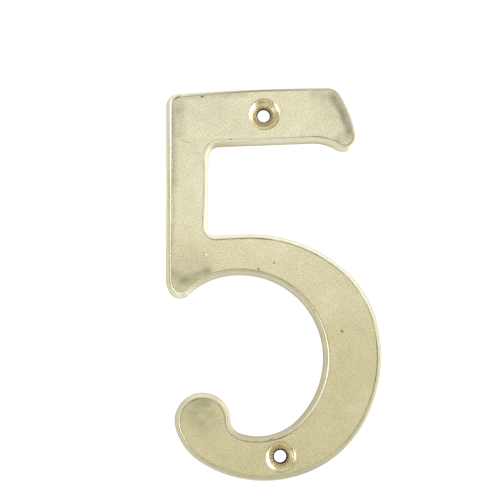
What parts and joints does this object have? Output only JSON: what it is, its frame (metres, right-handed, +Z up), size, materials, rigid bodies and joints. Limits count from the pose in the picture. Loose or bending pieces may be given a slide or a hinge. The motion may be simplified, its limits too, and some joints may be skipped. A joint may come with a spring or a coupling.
{
  "type": "door number",
  "caption": "Cast brass door number 5 with a polished face, drafted sides and countersunk screw holes in the bar and the bowl.",
  "frame": {"origin": "on the upper screw hole's axis, in the plane of the flat back", "axes": "+X to the right of someone facing the number, +Y into the wall it is fixed to, +Z up; the polished face looks towards -Y"},
  "size_m": [0.0416, 0.0048, 0.0759],
  "materials": {
    "cast_brass": "cast brass, face polished by hand, sides left as fettled, lightly tarnished"
  },
  "bodies": {
    "root": {"numeral_five": "cast_brass"}
  },
  "joints": []
}
